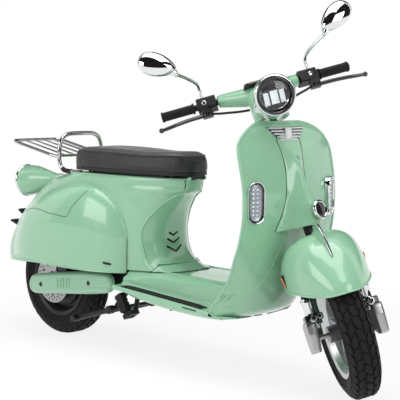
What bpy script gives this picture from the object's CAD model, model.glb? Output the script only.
"""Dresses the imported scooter: fine shells over the CAD stations, detailed wheels, seat, lamps and trim."""
from math import (acos, asin, atan2, copysign, cos, degrees, exp, hypot, pi, radians, sin, sqrt, tan)

import bmesh
import bpy
from mathutils import Matrix, Vector


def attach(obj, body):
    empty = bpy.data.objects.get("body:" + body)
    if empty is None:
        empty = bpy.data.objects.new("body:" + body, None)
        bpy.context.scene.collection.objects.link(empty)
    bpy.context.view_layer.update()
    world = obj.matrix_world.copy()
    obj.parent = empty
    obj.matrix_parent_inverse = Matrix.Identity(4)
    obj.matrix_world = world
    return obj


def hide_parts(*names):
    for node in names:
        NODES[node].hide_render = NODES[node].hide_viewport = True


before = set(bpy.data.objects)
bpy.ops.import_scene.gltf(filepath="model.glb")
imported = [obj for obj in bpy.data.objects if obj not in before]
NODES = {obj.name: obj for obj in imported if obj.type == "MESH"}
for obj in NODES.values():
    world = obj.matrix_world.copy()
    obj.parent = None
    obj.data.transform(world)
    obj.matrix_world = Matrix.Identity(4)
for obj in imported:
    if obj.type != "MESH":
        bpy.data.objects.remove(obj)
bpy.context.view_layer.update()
SIDES = ((1, "left"), (-1, "right"))

# The frames of part.scad, in millimetres
WHEELBASE, TRAIL = 1345.0, 44.0
RAKE, STEER = radians(24.25), radians(41.5)
TYRE_R, TYRE_W, TYRE_FLAT, RIM_R = 212.0, 95.0, 40.0, 142.0
WALL = 3.0
FOOT = WHEELBASE + TRAIL
TAIL_X = -314.0
CAMBER = asin(sin(STEER) * sin(RAKE))
HUB_U = TYRE_R * sin(RAKE) - TRAIL * cos(RAKE)
DROP = TYRE_R * cos(CAMBER) + TYRE_FLAT / 2 * sin(CAMBER)
HUB_W = (DROP - HUB_U * cos(STEER) * sin(RAKE)) / cos(RAKE)
NOSE_X = (FOOT + HUB_U * cos(STEER) * cos(RAKE) - HUB_W * sin(RAKE)
          + TYRE_R * sqrt(1 - (sin(STEER) * cos(RAKE)) ** 2) + TYRE_FLAT / 3)
MID_X, MID_Y = (TAIL_X + NOSE_X) / 2, 27.0


def body_xyz(x, y, z):
    """Chassis point in mm to the row frame in metres."""
    return Vector(((x - MID_X) / 1000, (y - MID_Y) / 1000, z / 1000))


def steer_xyz(u, y, w):
    """Steering-frame point in mm, bars turned as at rest, to the row frame in metres."""
    u2 = u * cos(STEER) + y * sin(STEER)
    y2 = -u * sin(STEER) + y * cos(STEER)
    x = FOOT + u2 * cos(RAKE) - w * sin(RAKE)
    z = u2 * sin(RAKE) + w * cos(RAKE)
    return Vector(((x - MID_X) / 1000, (y2 - MID_Y) / 1000, z / 1000))


def steer_matrix(u, y, w):
    """Matrix of the steering frame at a point, in metres, with its axes u, y, w."""
    o = steer_xyz(u, y, w)
    m = Matrix.Identity(4)
    for k, (a, b, c) in enumerate(((1, 0, 0), (0, 1, 0), (0, 0, 1))):
        m.col[k][:3] = (steer_xyz(u + a, y + b, w + c) - o) * 1000
    m.translation = o
    return m


def body_line(points):
    return [body_xyz(*p) for p in points]


def steer_line(points):
    return [steer_xyz(*p) for p in points]


def flip(points, side):
    """Points on one side of the middle plane: 1 is the left, -1 the right."""
    return [(x, side * y, z) for x, y, z in points]


def mirrored(points):
    """Points of one side, then their images on the other side, backwards."""
    return points + [(x, -y, z) for x, y, z in reversed(points)]


def on_frame(m):
    """Places millimetres along a matrix's own axes."""
    return lambda x, y, z: m @ Vector((x / 1000, y / 1000, z / 1000))


def turned(axis, angle):
    """Turn about an axis, in degrees."""
    return Matrix.Rotation(radians(angle), 4, axis)


def at_body(x, y, z, axis="X", angle=0):
    return Matrix.Translation(body_xyz(x, y, z)) @ turned(axis, angle)


def lerp(a, b, t):
    return a + (b - a) * t


def clamp(v):
    return min(1, max(0, v))


def spow(v, e):
    return copysign(abs(v) ** e, v)


def angles(n):
    """n angles round a full turn."""
    return [2 * pi * k / n for k in range(n)]


def across(steps):
    """Shares from -1 to 1, closer together at both ends."""
    return [sin(pi / 2 * (2 * k / steps - 1)) for k in range(steps + 1)]


def catmull(p, n):
    """Smooth stations: n steps for each gap of the list, as part.scad's spline()."""
    out = []
    for i in range(len(p) - 1):
        a, b, c, d = p[max(i - 1, 0)], p[i], p[i + 1], p[min(i + 2, len(p) - 1)]
        for k in range(n):
            t = k / n
            out.append(tuple(0.5 * (2 * q + (r - o) * t + (2 * o - 5 * q + 4 * r - s) * t * t
                                    + (3 * q - o - 3 * r + s) * t ** 3) for o, q, r, s in zip(a, b, c, d)))
    out.append(tuple(p[-1]))
    return out


def station(table, key):
    """Row of a table at a value of its first column: straight between rows, held beyond the ends."""
    for a, b in zip(table, table[1:]):
        if a[0] <= key <= b[0]:
            t = (key - a[0]) / (b[0] - a[0])
            return [lerp(p, q, t) for p, q in zip(a, b)]
    return list(table[0] if key < table[0][0] else table[-1])


def both_halves(half):
    """Smooth section across the scooter from the points (y, z) of its left half."""
    half = catmull(half, 3)
    return [(-y, z) for y, z in reversed(half[1:])] + half


def ball(radius, steps):
    """Profile of a ball for lathe()."""
    arc = [pi * k / steps for k in range(steps + 1)]
    return [(radius * sin(a), -radius * cos(a)) for a in arc]


# Materials: each has its node tree and the record's slot that its pieces take
SLOT_OF = {}


def new_mat(name, slot, colour, rough, metal=0.0, **sockets):
    m = bpy.data.materials.new(name)
    m.use_nodes = True
    SLOT_OF[m.name] = slot
    b = m.node_tree.nodes["Principled BSDF"]
    b.inputs["Base Color"].default_value = (*colour, 1)
    b.inputs["Roughness"].default_value = rough
    b.inputs["Metallic"].default_value = metal
    for k, v in sockets.items():
        b.inputs[k.replace("_", " ")].default_value = v
    return m, m.node_tree, b


def add(nt, kind, **values):
    """New node; a value goes to the input of that name, or else to the node itself."""
    n = nt.nodes.new(kind)
    for k, v in values.items():
        label = k.replace("_", " ")
        if label in n.inputs:
            n.inputs[label].default_value = v
        else:
            setattr(n, k, v)
    return n


def texture(nt, kind, output, **values):
    """Output of a texture in the object's own coordinates."""
    n = add(nt, kind, **values)
    nt.links.new(add(nt, "ShaderNodeTexCoord").outputs["Object"], n.inputs["Vector"])
    return n.outputs[output]


def noise(nt, scale, detail=3.0, rough=0.5):
    return texture(nt, "ShaderNodeTexNoise", "Fac", Scale=scale, Detail=detail, Roughness=rough)


def mottle(nt, b, fac, lo, hi):
    """Base colour that drifts between two colours with a texture."""
    r = add(nt, "ShaderNodeValToRGB")
    for element, position, colour in zip(r.color_ramp.elements, (0.3, 0.7), (lo, hi)):
        element.position = position
        element.color = (*colour, 1)
    nt.links.new(fac, r.inputs["Fac"])
    nt.links.new(r.outputs["Color"], b.inputs["Base Color"])


def vary_gloss(nt, b, fac, lo, hi):
    """Roughness that drifts between two values with a texture."""
    m = add(nt, "ShaderNodeMapRange", To_Min=lo, To_Max=hi)
    nt.links.new(fac, m.inputs["Value"])
    nt.links.new(m.outputs["Result"], b.inputs["Roughness"])


def bump(nt, b, height, strength, distance):
    n = add(nt, "ShaderNodeBump", Strength=strength, Distance=distance)
    nt.links.new(height, n.inputs["Height"])
    if b.inputs["Normal"].is_linked:
        nt.links.new(b.inputs["Normal"].links[0].from_socket, n.inputs["Normal"])
    nt.links.new(n.outputs["Normal"], b.inputs["Normal"])


def shade(c, k):
    return tuple(min(1, x * k) for x in c)


def paint_mat(name, colour):
    m, nt, b = new_mat(name, "paint", colour, 0.28, Coat_Weight=0.8, Coat_Roughness=0.04, Coat_IOR=1.5)
    mottle(nt, b, noise(nt, 1.8, 2), shade(colour, 0.975), shade(colour, 1.025))
    vary_gloss(nt, b, noise(nt, 4, 1), 0.25, 0.29)
    bump(nt, b, noise(nt, 900, 1), 0.004, 0.0004)
    return m


def metal_mat(name, slot, colour, rough, grain=140, depth=0.02, spread=0.05):
    m, nt, b = new_mat(name, slot, colour, rough, 1.0)
    mottle(nt, b, noise(nt, 9, 4), shade(colour, 0.93), shade(colour, 1.04))
    vary_gloss(nt, b, noise(nt, 36, 5, 0.6), max(0.02, rough - spread), rough + spread)
    bump(nt, b, noise(nt, grain, 4), depth, 0.001)
    return m


def grain_mat(name, slot, colour, rough, grain, depth, cells=False, **sockets):
    """Moulded plastic, rubber or vinyl: a fine grain in colour, gloss and relief."""
    m, nt, b = new_mat(name, slot, colour, rough, **sockets)
    mottle(nt, b, noise(nt, 14, 5, 0.6), shade(colour, 0.78), shade(colour, 1.25))
    vary_gloss(nt, b, noise(nt, 60, 3), rough - 0.06, rough + 0.07)
    bump(nt, b, noise(nt, grain, 3, 0.6), depth, 0.0008)
    if cells:
        edges = texture(nt, "ShaderNodeTexVoronoi", "Distance", feature="DISTANCE_TO_EDGE",
                        Scale=grain * 0.55)
        bump(nt, b, edges, depth * 1.6, 0.0008)
    return m


def lens_mat(name, colour, rough=0.03, ribs=0.0):
    m, nt, b = new_mat(name, "lens", colour, rough, Transmission_Weight=1.0, IOR=1.46)
    vary_gloss(nt, b, noise(nt, 30, 2), rough * 0.6, rough * 1.6)
    if ribs:
        bump(nt, b, texture(nt, "ShaderNodeTexVoronoi", "Distance", Scale=ribs), 0.3, 0.002)
    return m


def glow_mat(name, colour, strength):
    m, nt, b = new_mat(name, "lens", colour, 0.3, Emission_Strength=strength, Emission_Color=(*colour, 1))
    mottle(nt, b, noise(nt, 90, 2), shade(colour, 0.9), colour)
    return m


PAINT = paint_mat("mint_paint", (0.286, 0.541, 0.351))
PAINT_DEEP = paint_mat("deep_green_paint", (0.035, 0.075, 0.05))
SEAM = grain_mat("seam_shadow", "paint", (0.05, 0.1, 0.065), 0.6, 300, 0.05)
CHROME = metal_mat("chrome", "chrome", (0.80, 0.81, 0.82), 0.05, 40, 0.004, 0.02)
STEEL = metal_mat("brushed_steel", "steel", (0.58, 0.59, 0.6), 0.3, 420, 0.12, 0.08)
DISC_STEEL = metal_mat("disc_steel", "steel", (0.4, 0.4, 0.4), 0.3, 420, 0.1, 0.06)
ALLOY = metal_mat("cast_alloy", "alloy", (0.62, 0.63, 0.64), 0.34, 260, 0.16, 0.08)
BOOT_ALLOY = metal_mat("boot_alloy", "alloy", (0.5, 0.505, 0.51), 0.3, 220, 0.08, 0.06)
HUB_METAL = metal_mat("hub_metal", "alloy", (0.2, 0.2, 0.21), 0.34, 220, 0.08, 0.06)
RACK_CHROME = metal_mat("rack_chrome", "chrome", (0.5, 0.5, 0.49), 0.09, 60, 0.006, 0.03)
LAMP_BED = metal_mat("lamp_bed", "alloy", (0.4, 0.4, 0.42), 0.28, 220, 0.08, 0.05)
DARK_METAL = metal_mat("dark_metal", "black_metal", (0.09, 0.09, 0.095), 0.42, 200, 0.1, 0.08)
MIRROR = metal_mat("mirror_glass", "chrome", (0.86, 0.87, 0.88), 0.015, 20, 0.0, 0.004)
SILVER_DOT = metal_mat("silver_paint", "alloy", (0.7, 0.7, 0.71), 0.25)
BLACK_PAINT = grain_mat("satin_black", "black_plastic", (0.014, 0.014, 0.015), 0.38, 260, 0.06,
                        Specular_IOR_Level=0.35)
BLACK_GLOSS = grain_mat("gloss_black", "black_plastic", (0.012, 0.012, 0.014), 0.16, 160, 0.02,
                        Coat_Weight=0.5)
PLASTIC = grain_mat("moulded_plastic", "black_plastic", (0.014, 0.014, 0.015), 0.42, 620, 0.12,
                    Specular_IOR_Level=0.35)
RUBBER = grain_mat("rubber", "rubber", (0.014, 0.014, 0.0145), 0.6, 380, 0.16, Specular_IOR_Level=0.25)
TYRE = grain_mat("tyre_rubber", "tyre", (0.012, 0.0118, 0.0118), 0.66, 300, 0.24, Specular_IOR_Level=0.2)
VINYL = grain_mat("seat_vinyl", "vinyl", (0.026, 0.026, 0.0265), 0.42, 520, 0.14, True, Sheen_Weight=0.08,
                  Specular_IOR_Level=0.35)
VINYL_TOP = grain_mat("seat_vinyl_top", "vinyl", (0.05, 0.05, 0.051), 0.36, 560, 0.18, True,
                      Sheen_Weight=0.2)
AMBER_PLASTIC = grain_mat("amber_plastic", "amber", (0.62, 0.21, 0.02), 0.25, 300, 0.05, Coat_Weight=0.6)
ENAMEL = grain_mat("pale_enamel", "chrome", (0.7, 0.7, 0.69), 0.25, 200, 0.02, Coat_Weight=0.5)
RED_PLASTIC = grain_mat("red_plastic", "red_plastic", (0.42, 0.02, 0.015), 0.35, 300, 0.05)
YELLOW_PLASTIC = grain_mat("yellow_plastic", "amber", (0.7, 0.32, 0.03), 0.35, 300, 0.05)
GLASS = lens_mat("clear_lens", (0.93, 0.95, 0.97))
RED_LENS = lens_mat("red_lens", (0.6, 0.02, 0.015), 0.06, 150)
LED = glow_mat("led_panel", (0.80, 0.85, 0.83), 0.44)


# Meshes and pieces
def put(name, data):
    o = bpy.data.objects.new(name, data)
    bpy.context.scene.collection.objects.link(o)
    return o


def piece(name, parts, body, mat, *nodes, slot=None, smooth=40):
    """Piece of one mesh or a list of them, which rides on a body and replaces nodes.

    Its slot is the material's own unless another is given."""
    mesh = join(parts) if isinstance(parts, list) else parts
    mesh.name = name
    o = put(name, mesh)
    mesh.materials.append(mat)
    round_off(mesh, smooth)
    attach(o, body)
    slot or SLOT_OF[mat.name]
    if nodes:
        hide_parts(*nodes)
    return o


def round_off(mesh, limit):
    """Smooth shading, with edges sharper than a limit in degrees kept."""
    mesh.shade_smooth()
    mesh.set_sharp_from_angle(angle=radians(limit))


def mesh_of(bm):
    me = bpy.data.meshes.new("part")
    bm.to_mesh(me)
    bm.free()
    return me


def mesh_from(verts, faces):
    me = bpy.data.meshes.new("part")
    me.from_pydata([tuple(v) for v in verts], [], faces)
    bm = bmesh.new()
    bm.from_mesh(me)
    bmesh.ops.remove_doubles(bm, verts=bm.verts, dist=1e-6)
    bmesh.ops.recalc_face_normals(bm, faces=bm.faces)
    bm.to_mesh(me)
    bm.free()
    me.validate()
    return me


def grid(rows, around=False, caps=False, loop=False):
    """Mesh through rows of points. around closes each row, loop joins the last row to the first."""
    r, m = len(rows), len(rows[0])
    faces = []
    for i in range(r if loop else r - 1):
        i2 = (i + 1) % r
        for j in range(m if around else m - 1):
            j2 = (j + 1) % m
            faces.append((i * m + j, i2 * m + j, i2 * m + j2, i * m + j2))
    if caps:
        faces.append(tuple(range(m)))
        faces.append(tuple((r - 1) * m + j for j in range(m - 1, -1, -1)))
    return mesh_from([p for row in rows for p in row], faces)


def tube_grid(rows):
    """Closed solid through rings of points, with both ends capped."""
    return grid(rows, True, True)


def two_walls(outer, inner, around=False):
    """Closed thin wall between two grids of points of the same size."""
    r, m = len(outer), len(outer[0])
    verts = [p for row in outer for p in row] + [p for row in inner for p in row]
    k = r * m
    faces = []
    cols = m if around else m - 1
    for i in range(r - 1):
        for j in range(cols):
            a, b, c, d = i * m + j, (i + 1) * m + j, (i + 1) * m + (j + 1) % m, i * m + (j + 1) % m
            faces.append((a, b, c, d))
            faces.append((k + a, k + d, k + c, k + b))
    for j in range(cols):
        j2 = (j + 1) % m
        faces.append((j, j2, k + j2, k + j))
        e = (r - 1) * m
        faces.append((e + j, k + e + j, k + e + j2, e + j2))
    if not around:
        for i in range(r - 1):
            a, b = i * m, (i + 1) * m
            faces.append((a, k + a, k + b, b))
            a, b = i * m + m - 1, (i + 1) * m + m - 1
            faces.append((a, b, k + b, k + a))
    return mesh_from(verts, faces)


def skin(stations, row, thick=WALL):
    """Thin shell through stations; row gives the points of a station at a depth under the outside."""
    return two_walls([row(s, 0) for s in stations], [row(s, thick) for s in stations])


def open_edge(rows):
    """The two sides and the last row of a grid of points, as one line."""
    return [r[0] for r in rows] + rows[-1][1:-1] + [r[-1] for r in reversed(rows)]


def sweep(path, radius, sides=14, closed=False, flat=1.0, up=Vector((0.05, 0.02, 1))):
    """Round tube along points in metres; radius in metres, a number or one for each point."""
    n = len(path)
    rows = []
    prev = None
    for i, p in enumerate(path):
        a = path[(i - 1) % n] if closed or i else path[0]
        b = path[(i + 1) % n] if closed or i < n - 1 else path[-1]
        t = (b - a).normalized()
        s = t.cross(up).normalized() if prev is None else (prev - t * prev.dot(t)).normalized()
        prev = s
        q = t.cross(s)
        r = radius[i] if isinstance(radius, list) else radius
        rows.append([p + r * (cos(c) * s + flat * sin(c) * q) for c in angles(sides)])
    return grid(rows, True, not closed, closed)


def lathe(profile, place, sides=64):
    """Turned shape. profile is (radius, height) in mm; place maps (x, y, z) in mm, z the axis."""
    rows = [[place(r * cos(a), r * sin(a), h) for r, h in profile] for a in angles(sides)]
    return grid(rows, loop=True)


def join(parts):
    """One mesh from several."""
    bm = bmesh.new()
    for me in parts:
        bm.from_mesh(me)
    out = mesh_of(bm)
    for me in parts:
        bpy.data.meshes.remove(me)
    return out


def box_mesh(size, matrix, bevel=0.0, segments=3):
    """Box with rounded edges; size in mm, matrix places its centre."""
    bm = bmesh.new()
    bmesh.ops.create_cube(bm, size=1.0)
    for v in bm.verts:
        v.co = Vector((v.co.x * size[0], v.co.y * size[1], v.co.z * size[2])) / 1000
    if bevel:
        bmesh.ops.bevel(bm, geom=bm.edges[:], offset=bevel / 1000, segments=segments, affect="EDGES",
                        profile=0.5)
    bm.transform(matrix)
    return mesh_of(bm)


def hull_mesh(points):
    bm = bmesh.new()
    for p in points:
        bm.verts.new(p)
    res = bmesh.ops.convex_hull(bm, input=bm.verts)
    loose = {g for g in res["geom_interior"] + res["geom_unused"] if isinstance(g, bmesh.types.BMVert)}
    bmesh.ops.delete(bm, geom=list(loose), context="VERTS")
    return mesh_of(bm)


def bolt(matrix, radius, height):
    """Hex socket bolt: washer, round head and socket, axis along local z; sizes in mm."""
    prof = [(0, -2), (radius * 1.45, -2), (radius * 1.45, 0.4), (radius * 1.3, 1), (radius, 1.2),
            (radius, height * 0.75), (radius * 0.86, height), (radius * 0.5, height),
            (radius * 0.5, height * 0.4), (0, height * 0.4)]
    return lathe(prof, on_frame(matrix), 20)


def apply_mods(o):
    bpy.context.view_layer.update()
    dg = bpy.context.evaluated_depsgraph_get()
    me = bpy.data.meshes.new_from_object(o.evaluated_get(dg))
    old = o.data
    o.modifiers.clear()
    o.data = me
    bpy.data.meshes.remove(old)


def soften(o, rounds):
    mod = o.modifiers.new("soft", "SMOOTH")
    mod.factor, mod.iterations = 0.5, rounds


def weld(o, voxel, rounds=0):
    """Melts overlapping parts into one even skin and smooths it."""
    mod = o.modifiers.new("weld", "REMESH")
    mod.mode, mod.voxel_size = "VOXEL", voxel
    if rounds:
        soften(o, rounds)
    apply_mods(o)


def carve(o, parts):
    """Cuts meshes out of an object."""
    cut = put("cut", join(parts))
    mod = o.modifiers.new("carve", "BOOLEAN")
    mod.operation, mod.object, mod.solver = "DIFFERENCE", cut, "EXACT"
    apply_mods(o)
    bpy.data.objects.remove(cut)
    round_off(o.data, 35)


# Camera, light and floor
CAMERA_AXES = ((0.73127, 0.68201, 0.01045), (-0.07297, 0.06299, 0.99534), (0.67817, -0.72863, 0.09583))
CAMERA_AT = (3.4113, -2.9171, 0.9440)
FLAG_AWAY = 8


def set_camera(scene):
    cam = bpy.data.cameras.new("camera")
    cam.lens, cam.sensor_width = 105.64, 36.0
    co = put("camera", cam)
    m = Matrix.Identity(4)
    for k, axis in enumerate(CAMERA_AXES):
        m.col[k][:3] = axis
    m.translation = (CAMERA_AT[0] - MID_X / 1000, CAMERA_AT[1] - MID_Y / 1000, CAMERA_AT[2])
    co.matrix_world = m
    scene.camera = co


def seen_share(nt):
    """1 for rays from the camera, from gloss and through glass, and 0 for the light itself."""
    path = add(nt, "ShaderNodeLightPath")
    share = path.outputs["Is Camera Ray"]
    for kind in ("Is Glossy Ray", "Is Transmission Ray"):
        both = add(nt, "ShaderNodeMath", operation="MAXIMUM")
        nt.links.new(share, both.inputs[0])
        nt.links.new(path.outputs[kind], both.inputs[1])
        share = both.outputs[0]
    return share


def mix_shaders(nt, share, plain, seen, output):
    mix = add(nt, "ShaderNodeMixShader")
    for k, source in enumerate((share, plain.outputs[0], seen.outputs[0])):
        nt.links.new(source, mix.inputs[k])
    nt.links.new(mix.outputs[0], nt.nodes[output].inputs["Surface"])


def set_world(scene):
    world = bpy.data.worlds.new("studio")
    scene.world = world
    world.use_nodes = True
    nt = world.node_tree
    fill = nt.nodes["Background"]
    fill.inputs["Color"].default_value = (0.96, 0.98, 1.0, 1)
    fill.inputs["Strength"].default_value = 0.42
    back = add(nt, "ShaderNodeBackground", Color=(1, 1, 1, 1), Strength=1.0)
    mix_shaders(nt, seen_share(nt), fill, back, "World Output")


def softbox(name, where, target, size, watts):
    light = bpy.data.lights.new(name, "AREA")
    light.shape, light.size, light.size_y, light.energy = "RECTANGLE", size[0], size[1], watts
    o = put(name, light)
    o.location = where
    o.rotation_euler = (Vector(target) - Vector(where)).to_track_quat("-Z", "Y").to_euler()


def set_floor():
    """Pale floor that fades into the white background away from the scooter."""
    me = bpy.data.meshes.new("floor")
    me.from_pydata([(-30, -30, 0), (30, -30, 0), (30, 30, 0), (-30, 30, 0)], [], [(0, 1, 2, 3)])
    floor = put("floor", me)
    m, nt, b = new_mat("pale_floor", None, (0.92, 0.92, 0.92), 0.8, Specular_IOR_Level=0.1)
    far = add(nt, "ShaderNodeVectorMath", operation="LENGTH")
    nt.links.new(add(nt, "ShaderNodeNewGeometry").outputs["Position"], far.inputs[0])
    fade = add(nt, "ShaderNodeMapRange", interpolation_type="SMOOTHSTEP", From_Min=0.9, From_Max=2.0,
               To_Min=0.84, To_Max=1.0)
    nt.links.new(far.outputs["Value"], fade.inputs["Value"])
    part = add(nt, "ShaderNodeMath", operation="MULTIPLY")
    nt.links.new(seen_share(nt), part.inputs[0])
    nt.links.new(fade.outputs["Result"], part.inputs[1])
    white = add(nt, "ShaderNodeEmission", Color=(1, 1, 1, 1))
    mix_shaders(nt, part.outputs[0], b, white, "Material Output")
    me.materials.append(m)


def set_flags():
    """Dark studio flags round the camera, which only reflections show."""
    m, nt, b = new_mat("flag_cloth", None, (0.015, 0.015, 0.016), 0.9)
    mottle(nt, b, noise(nt, 5, 3), (0.01, 0.01, 0.011), (0.02, 0.02, 0.021))
    for name, mid, span, low, high in (("flag_front", -47, 100, 5, 86), ("flag_back", 133, 60, 16, 62)):
        rows = []
        for i in range(13):
            e = radians(lerp(low, high, i / 12))
            rows.append([Vector((cos(e) * cos(a), cos(e) * sin(a), sin(e))) * FLAG_AWAY
                         for a in (radians(mid + span * (k / 16 - 1)) for k in range(33))])
        flag = put(name, grid(rows))
        flag.data.materials.append(m)
        flag.visible_camera = flag.visible_diffuse = False
        flag.visible_shadow = flag.visible_transmission = False


bpy.context.scene.view_settings.view_transform = "Standard"
set_camera(bpy.context.scene)
set_world(bpy.context.scene)
softbox("top_softbox", (0.1, -0.4, 3.4), (0, 0, 0.4), (3.2, 2.2), 70)
softbox("front_softbox", (3.2, -0.6, 1.9), (0.3, 0, 0.5), (1.6, 2.0), 34)
softbox("side_softbox", (-1.2, -3.4, 1.8), (-0.1, 0, 0.5), (2.4, 1.6), 42)
set_floor()
set_flags()

# Brake hoses from the lever perches into the headset cover
HOSE = [(-56, 168, 1010), (-46, 150, 1002), (-30, 122, 992), (-8, 92, 980), (8, 62, 972)]
HOSE_R = 0.004


def hoses():
    for side, label in SIDES:
        path = steer_line(flip(catmull(HOSE, 10), side))
        length = sum((a - b).length for a, b in zip(path, path[1:]))
        nodes = ("brake_hoses",) if side > 0 else ()
        hose = piece(f"brake_hose_{label}", sweep(path, HOSE_R), "steering", RUBBER, *nodes)
        tuple(path[0])
        [tuple(p) for p in path]


hoses()

# Rear body: height at the front and at the tail, tail x, start of the front curve, front x, its power
BODY_HALF, DECK, BODY_MID, BODY_SIDES = 120.0, 636.0, 250.0, 208
BODY_LEVELS = [(320, 258, -306, 520, 690, 3.0), (330, 296, -310, 510, 645, 3.0),
               (350, 342, -298, 495, 604, 3.0), (392, 388, -270, 480, 577, 3.0),
               (445, 440, -232, 475, 572, 3.0), (510, 506, -158, 450, 592, 2.7),
               (566, 562, -84, 390, 640, 2.4), (588, 584, -44, 365, 676, 2.3),
               (606, 602, -10, 345, 684, 2.2), (626, 622, 70, 325, 688, 2.2)]
BODY_RIM = (DECK - 3, DECK - 3, 118, 325, 692, 2.2)
BODY_TOP = (DECK, DECK, 150, 325, 700, 2.2)
CREASE = [(668, 588), (662, 585), (620, 566), (582, 534), (551, 497), (533, 462), (528, 435), (532, 400),
          (546, 362), (566, 336), (596, 322)]
CREASE_WIDE, CREASE_DEEP, DECK_MID = 20, 7, 417.5
# Height and half width of each chevron, their slope in degrees, and how tall their slots are
CHEVRONS, CHEVRON_SLOPE, CHEVRON_HIGH = ((428, 22), (402, 30), (373, 37)), 28, 7.0


def body_ring(level, inset, dz=0.0):
    """Outline of the body at a level."""
    front_z, tail_z, tail, bend, nose, power = level
    ring = []
    for a in angles(BODY_SIDES):
        front = cos(a) >= 0
        e = 2 / (power if front else 2.5)
        start, reach = (bend, nose - bend) if front else (BODY_MID, BODY_MID - tail)
        x = start + spow(cos(a), e) * (reach - inset)
        y = spow(sin(a), e) * (BODY_HALF - inset)
        ring.append((x, y, lerp(tail_z, front_z, clamp((x - tail) / (nose - tail))) + dz))
    return ring


def pillar_step(x, y, z):
    """Sinks the flanks of the pillar a little in front of the curved crease."""
    for (xa, za), (xb, zb) in zip(CREASE, CREASE[1:]):
        if zb <= z <= za:
            slope = (xb - xa) / (zb - za)
            d = (x - xa - slope * (z - za)) / hypot(1, slope)
            t = clamp(d / CREASE_WIDE)
            return x, y - copysign(min(CREASE_DEEP, abs(y) * 0.09) * t * t * (3 - 2 * t), y), z
    return x, y, z


def body_rings(inset, drop):
    """The levels of the shell, then its rounded rim and the deck under the seat."""
    out = [[pillar_step(*p) for p in body_ring(s, inset)] for s in catmull(BODY_LEVELS, 8)]
    first = out[-1]
    last = body_ring(BODY_RIM, 4 + inset, -drop * 0.7)
    for t in (0.35, 0.7):
        out.append([(lerp(a[0], b[0], t ** 1.6), lerp(a[1], b[1], t ** 1.6), lerp(a[2], b[2], t))
                    for a, b in zip(first, last)])
    out.append(last)
    deck = [(lerp(p[0], DECK_MID, 0.32), p[1] * 0.7, DECK - drop) for p in body_ring(BODY_TOP, 0)]
    for t in (0.12, 1.0):
        out.append([(lerp(a[0], b[0], t), lerp(a[1], b[1], t), lerp(a[2], b[2], min(1, t * 4)))
                    for a, b in zip(last, deck)])
    return [body_line(ring) for ring in out]


def rear_body():
    shell = two_walls(body_rings(0, 0), body_rings(WALL, WALL), True)
    o = piece("body_shell", shell, "chassis", PAINT, "rear_body")
    # chevron vents cut through the front of the pillar
    for side in (-1, 1):
        arms = []
        for z, half in CHEVRONS:
            m = at_body(575, side * half / 2, z + half * 0.27, "X", side * CHEVRON_SLOPE)
            arms.append(box_mesh((150, half * 1.16, CHEVRON_HIGH), m))
        carve(o, arms)


rear_body()

# Side cowls: x, height of the top edge, half width of the body there, share of the full bulge
COWL = [(-190, 318, 93, 0.03), (-165, 380, 95, 0.22), (-115, 444, 101, 0.48), (-40, 506, 112, 0.76),
        (60, 558, 118, 0.93), (160, 588, 120, 1.0), (245, 597, 120, 1.0), (325, 584, 120, 0.91),
        (390, 548, 120, 0.68), (432, 500, 120, 0.40), (456, 452, 120, 0.16), (464, 420, 120, 0.03)]
COWL_BOTTOM, COWL_HALF, COWL_P = 297.0, 200.0, 2.5
COWL_STATIONS = catmull(COWL, 7)
COWL_STEPS, COWL_BEAD, COWL_HEM = 44, 0.0034, 0.0026


def cowl_xyz(s, angle, side, inset=0.0):
    """On a station of the cowl, from its top edge at 0 to its hem at a quarter turn."""
    base = BODY_HALF + 0.5 + s[2] - 120
    out = lerp(base + WALL + 1, COWL_HALF, s[3]) - inset
    z = COWL_BOTTOM + (s[1] - inset - COWL_BOTTOM) * max(0, cos(angle)) ** (2 / COWL_P)
    return body_xyz(s[0], side * (base + (out - base) * sin(angle) ** (2 / COWL_P)), z)


def cowls():
    quarter = [pi / 2 * k / COWL_STEPS for k in range(COWL_STEPS + 1)]
    for side, label in reversed(SIDES):
        def row(s, inset):
            return [cowl_xyz(s, a, side, inset) for a in quarter]
        piece(f"cowl_shell_{label}", skin(COWL_STATIONS, row), "chassis", PAINT, f"cowl_{label}")
        outer = [row(s, 0) for s in COWL_STATIONS]
        piece(f"cowl_bead_{label}", sweep([r[0] for r in outer], COWL_BEAD, 10), "chassis", PAINT)
        piece(f"cowl_hem_{label}", sweep([r[-1] for r in outer], COWL_HEM, 8), "chassis", PAINT)


cowls()

# Leg shield: height, x of its edge from the steering foot, share of the half width, bulge
SHIELD_HALF, SHIELD_P, SHIELD_LIP = 231.0, 2.3, 0.0042
SHIELD = [(206, -440, 0.70, 36), (222, -462, 0.81, 100), (242, -458, 0.85, 128), (282, -425, 0.866, 114),
          (313, -396, 0.883, 93), (358, -365, 0.918, 67), (413, -339, 0.961, 46), (472, -312, 0.996, 28),
          (550, -299, 0.987, 25), (625, -299, 0.989, 25), (700, -312, 1.0, 25), (750, -324, 0.995, 24),
          (777, -331, 0.944, 19), (797, -334, 0.86, 15), (815, -338, 0.73, 12), (829, -345, 0.58, 9),
          (836, -352, 0.43, 6)]


def shield_x(z, y):
    s = station(SHIELD, z)
    return FOOT + s[1] + s[3] * (1 - min(1, abs(y) / (SHIELD_HALF * s[2])) ** SHIELD_P)


def shield_row(s, back):
    return [body_xyz(FOOT + s[1] - back + s[3] * (1 - abs(c) ** SHIELD_P), c * SHIELD_HALF * s[2], s[0])
            for c in across(72)]


def leg_shield():
    stations = catmull(SHIELD, 6)
    piece("shield_skin", skin(stations, shield_row), "chassis", PAINT, "leg_shield")
    rim = open_edge([shield_row(s, 0) for s in stations])
    piece("shield_lip", sweep(rim, SHIELD_LIP, 12), "chassis", PAINT)


leg_shield()

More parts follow.
